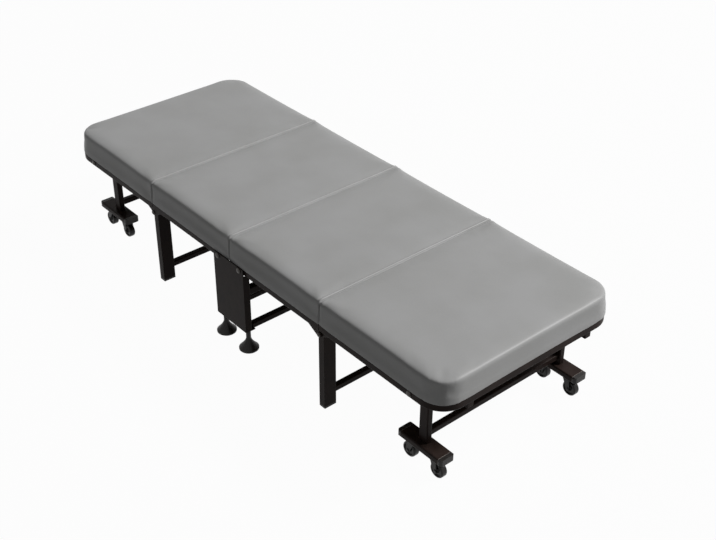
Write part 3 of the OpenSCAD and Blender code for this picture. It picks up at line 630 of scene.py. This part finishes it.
def welt(piece, side):
    """The piping of a pad's low end (side 1) or high end (side -1) in X, as a mesh."""
    low, high = piece_box(piece)
    middle = (low + high) / 2
    outline = bmesh.new()
    outline.from_mesh(piece.data)
    cut_x = (low.x if side > 0 else high.x) + side * PIPING_FROM_END
    bmesh.ops.bisect_plane(outline, geom=outline.verts[:] + outline.edges[:] + outline.faces[:],
                           plane_co=(cut_x, 0, 0), plane_no=(1, 0, 0), clear_inner=True,
                           clear_outer=True)
    points = sorted((v.co.copy() for v in outline.verts if v.co.z > low.z + 2 * PIPING_RADIUS),
                    key=lambda co: math.atan2(co.y, co.z - middle.z))
    outline.free()
    path = bpy.data.curves.new("piping", "CURVE")
    path.dimensions = "3D"
    path.bevel_depth = PIPING_RADIUS
    path.bevel_resolution = 1
    path.use_fill_caps = True
    line = path.splines.new("NURBS")
    chosen = points[::2]
    line.points.add(len(chosen) - 1)
    for knot, co in zip(line.points, chosen):
        knot.co = (*(co - (co - middle).normalized() * PIPING_SUNK), 1)
    line.order_u = 4
    line.use_endpoint_u = True
    line.resolution_u = 1
    holder = bpy.data.objects.new("piping", path)
    bpy.context.scene.collection.objects.link(holder)
    bpy.context.view_layer.update()
    mesh = bpy.data.meshes.new_from_object(
        holder.evaluated_get(bpy.context.evaluated_depsgraph_get()))
    bpy.data.objects.remove(holder)
    return mesh


def mirrored(mesh):
    """A mesh on the other side of the middle, with its faces turned out again."""
    other = bmesh.new()
    other.from_mesh(mesh)
    bmesh.ops.scale(other, vec=(-1, 1, 1), verts=other.verts)
    bmesh.ops.reverse_faces(other, faces=other.faces)
    made = bpy.data.meshes.new(mesh.name)
    other.to_mesh(made)
    other.free()
    return made


def sew_on(piece, piping_mesh):
    """Joins the piping to a pad. Its faces get the second material."""
    joined = bmesh.new()
    joined.from_mesh(piece.data)
    pad_faces = len(joined.faces)
    joined.from_mesh(piping_mesh)
    joined.faces.ensure_lookup_table()
    for face in joined.faces[pad_faces:]:
        face.material_index = 1
        face.smooth = True
    joined.to_mesh(piece.data)
    joined.free()


# %% [markdown]
# ## The bed for the board
# Under each pad the foam leaves room for the plywood. A boolean takes it out after the
# simulation, when a subdivision has smoothed the cover, so the edge of the hollow stays sharp.
# The cutter is the board's own solid, grown by half a millimetre on every side.

# %% Smooth the covers and hollow them
BOARD_ROOM = 0.5 * MM
CUTTER_BELOW = 5 * MM
WELD_DISTANCE = 0.001 * MM


def board_cutter(node):
    """The board's solid, a little larger and open to below."""
    low, high = (Vector(corner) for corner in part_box(node))
    middle = (low + high) / 2
    cutter = bmesh.new()
    cutter.from_mesh(nodes[node].data)
    bmesh.ops.remove_doubles(cutter, verts=cutter.verts, dist=WELD_DISTANCE)
    for vertex in cutter.verts:
        for i in range(3):
            vertex.co[i] += math.copysign(BOARD_ROOM, vertex.co[i] - middle[i])
        if vertex.co.z < middle.z:
            vertex.co.z -= CUTTER_BELOW
    mesh = bpy.data.meshes.new("board_room")
    cutter.to_mesh(mesh)
    cutter.free()
    return link("board_room", mesh)


welts = {}
for piece, node, board in ((outer_block, "pad_d", "base_board_d"),
                           (inner_block, "pad_c", "base_board_c")):
    smooth = piece.modifiers.new("smooth", "SUBSURF")
    smooth.levels = smooth.render_levels = 1
    baked(piece)
    square_ends(piece, node, piece == outer_block)
    seam_sides = (1,) if piece == outer_block else (1, -1)
    welts[node[-1]] = {side: welt(piece, side) for side in seam_sides}
    room = board_cutter(board)
    hollow = piece.modifiers.new("hollow", "BOOLEAN")
    hollow.object = room
    hollow.operation = "DIFFERENCE"
    hollow.solver = "MANIFOLD"
    baked(piece)
    bpy.data.objects.remove(room)
    for face in piece.data.polygons:
        face.use_smooth = True
    print(piece.name, len(piece.data.polygons), "faces")

# %% [markdown]
# ## Four pads from two
# The pads of the other half are mirror images. A mirrored mesh is inside out, so its faces are
# turned round. The piping follows, one cord for each of the three seams. Real covers are never
# quite alike, so each top gets soft waves of its own, under a millimetre high: low, broad noise
# with another offset for each pad.

# %% Four pads
WAVE_HEIGHT = 0.8 * MM
WAVE_LENGTH = 0.16
WAVE_RISE = 3
PAD_OFFSET = 7.3


def soften(piece, offset):
    """Soft waves on the top of a pad, none at its edges."""
    low, high = piece_box(piece)
    for vertex in piece.data.vertices:
        inside = min(vertex.co.x - low.x, high.x - vertex.co.x,
                     vertex.co.y - low.y, high.y - vertex.co.y) / WAVE_LENGTH
        if vertex.co.z > (low.z + high.z) / 2:
            wave = noise.noise(vertex.co / WAVE_LENGTH + Vector((offset, 0, 0)))
            vertex.co.z += WAVE_HEIGHT * wave * min(1, max(0, inside * WAVE_RISE))


cushions = {"c": inner_block, "d": outer_block}
for letter, source in (("a", "d"), ("b", "c")):
    cushions[letter] = link(f"cushion_{letter}", mirrored(cushions[source].data))
sew_on(cushions["a"], mirrored(welts["d"][1]))
sew_on(cushions["b"], mirrored(welts["c"][1]))
sew_on(cushions["c"], welts["c"][-1])
for number, (letter, piece) in enumerate(sorted(cushions.items())):
    soften(piece, PAD_OFFSET * number)
    piece.data.materials.clear()
    piece.data.materials.append(cover)
    piece.data.materials.append(piping)
    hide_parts(f"pad_{letter}")
    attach(piece, f"section_{letter}")
    print(piece.name, [round(n * 1000, 1) for n in piece.dimensions], "mm")

# %% [markdown]
# ## Meshes of their own
# When the bed folds, the two inner pads meet in the middle and the foam is squeezed between
# the boards. Here each of them only gets a mesh of its own.

# %% Own meshes for the inner pads
for letter, joint in (("b", "fold_left"), ("c", "fold_right")):
    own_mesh(cushions[letter])

# %% [markdown]
# ## The floor and the light
# A catalogue picture has a white sweep and one big soft light, here from beyond the foot of the
# bed and high up, so that the end faces and rounded edges catch it and the near side stays dark.
# A small, weak lamp on the near side only puts a glint on feet, casters and edges.
# What the camera sees of the floor is nearly white by its own colour, not by more light: a share
# of plain white is mixed in for camera and mirror rays only, and the shadow still falls on it.

# %% Floor and light


def seen_white(tree):
    """1 where a camera, mirror or glass ray looks, 0 for the light that reaches the bed."""
    path = add(tree, "ShaderNodeLightPath")
    direct = add(tree, "ShaderNodeMath", {"operation": "MAXIMUM"},
                 i0=path.outputs["Is Camera Ray"], i1=path.outputs["Is Glossy Ray"])
    return add(tree, "ShaderNodeMath", {"operation": "MAXIMUM"}, i0=direct.outputs["Value"],
               i1=path.outputs["Is Transmission Ray"]).outputs["Value"]


FLOOR_HALF = 12.0
FLOOR_WHITE = 0.97
floor_mesh = bmesh.new()
bmesh.ops.create_grid(floor_mesh, x_segments=1, y_segments=1, size=FLOOR_HALF)
floor_data = bpy.data.meshes.new("floor")
floor_mesh.to_mesh(floor_data)
floor_mesh.free()
floor = bpy.data.objects.new("floor", floor_data)
bpy.context.scene.collection.objects.link(floor)
paper, tree, shader = new_material("white_paper_sweep")
shader.inputs["Base Color"].default_value = rgb("#868686")
shader.inputs["Roughness"].default_value = 0.9
glow = add(tree, "ShaderNodeEmission", Color=rgb("#ffffff"), Strength=1.0)
share = add(tree, "ShaderNodeMath", {"operation": "MULTIPLY"}, i0=seen_white(tree), i1=FLOOR_WHITE)
mix = add(tree, "ShaderNodeMixShader", Fac=share.outputs["Value"], i1=shader.outputs["BSDF"],
          i2=glow.outputs["Emission"])
output = next(n for n in tree.nodes if n.type == "OUTPUT_MATERIAL")
tree.links.new(mix.outputs["Shader"], output.inputs["Surface"])
floor_data.materials.append(paper)

world = bpy.data.worlds.new("studio")
bpy.context.scene.world = world
world.use_nodes = True
tree = world.node_tree
tree.nodes.clear()
WORLD_LEVEL = 0.1
fill = add(tree, "ShaderNodeBackground", Color=rgb("#ffffff"), Strength=WORLD_LEVEL)
white = add(tree, "ShaderNodeBackground", Color=rgb("#ffffff"), Strength=1.0)
mix = add(tree, "ShaderNodeMixShader", Fac=seen_white(tree), i1=fill.outputs["Background"],
          i2=white.outputs["Background"])
tree.links.new(mix.outputs["Shader"], add(tree, "ShaderNodeOutputWorld").inputs["Surface"])


def softbox(name, place_at, aim, width, watts):
    """A square area lamp at a place, aimed at a point."""
    lamp = bpy.data.lights.new(name, "AREA")
    lamp.shape = "SQUARE"
    lamp.size = width
    lamp.energy = watts
    holder = bpy.data.objects.new(name, lamp)
    bpy.context.scene.collection.objects.link(holder)
    holder.location = place_at
    holder.rotation_euler = (Vector(aim) - Vector(place_at)).to_track_quat("-Z", "Y").to_euler()


MIDDLE_OF_BED = (0, 0, 0.3)
softbox("key", (5.0, 6.8, 8.0), MIDDLE_OF_BED, width=2.6, watts=1640)
softbox("glint", (-0.7, -4.2, 4.4), MIDDLE_OF_BED, width=0.5, watts=9)

# %% [markdown]
# ## Display
# The picture uses the plain display transform.

# %% Finish
bpy.context.scene.view_settings.view_transform = "Standard"
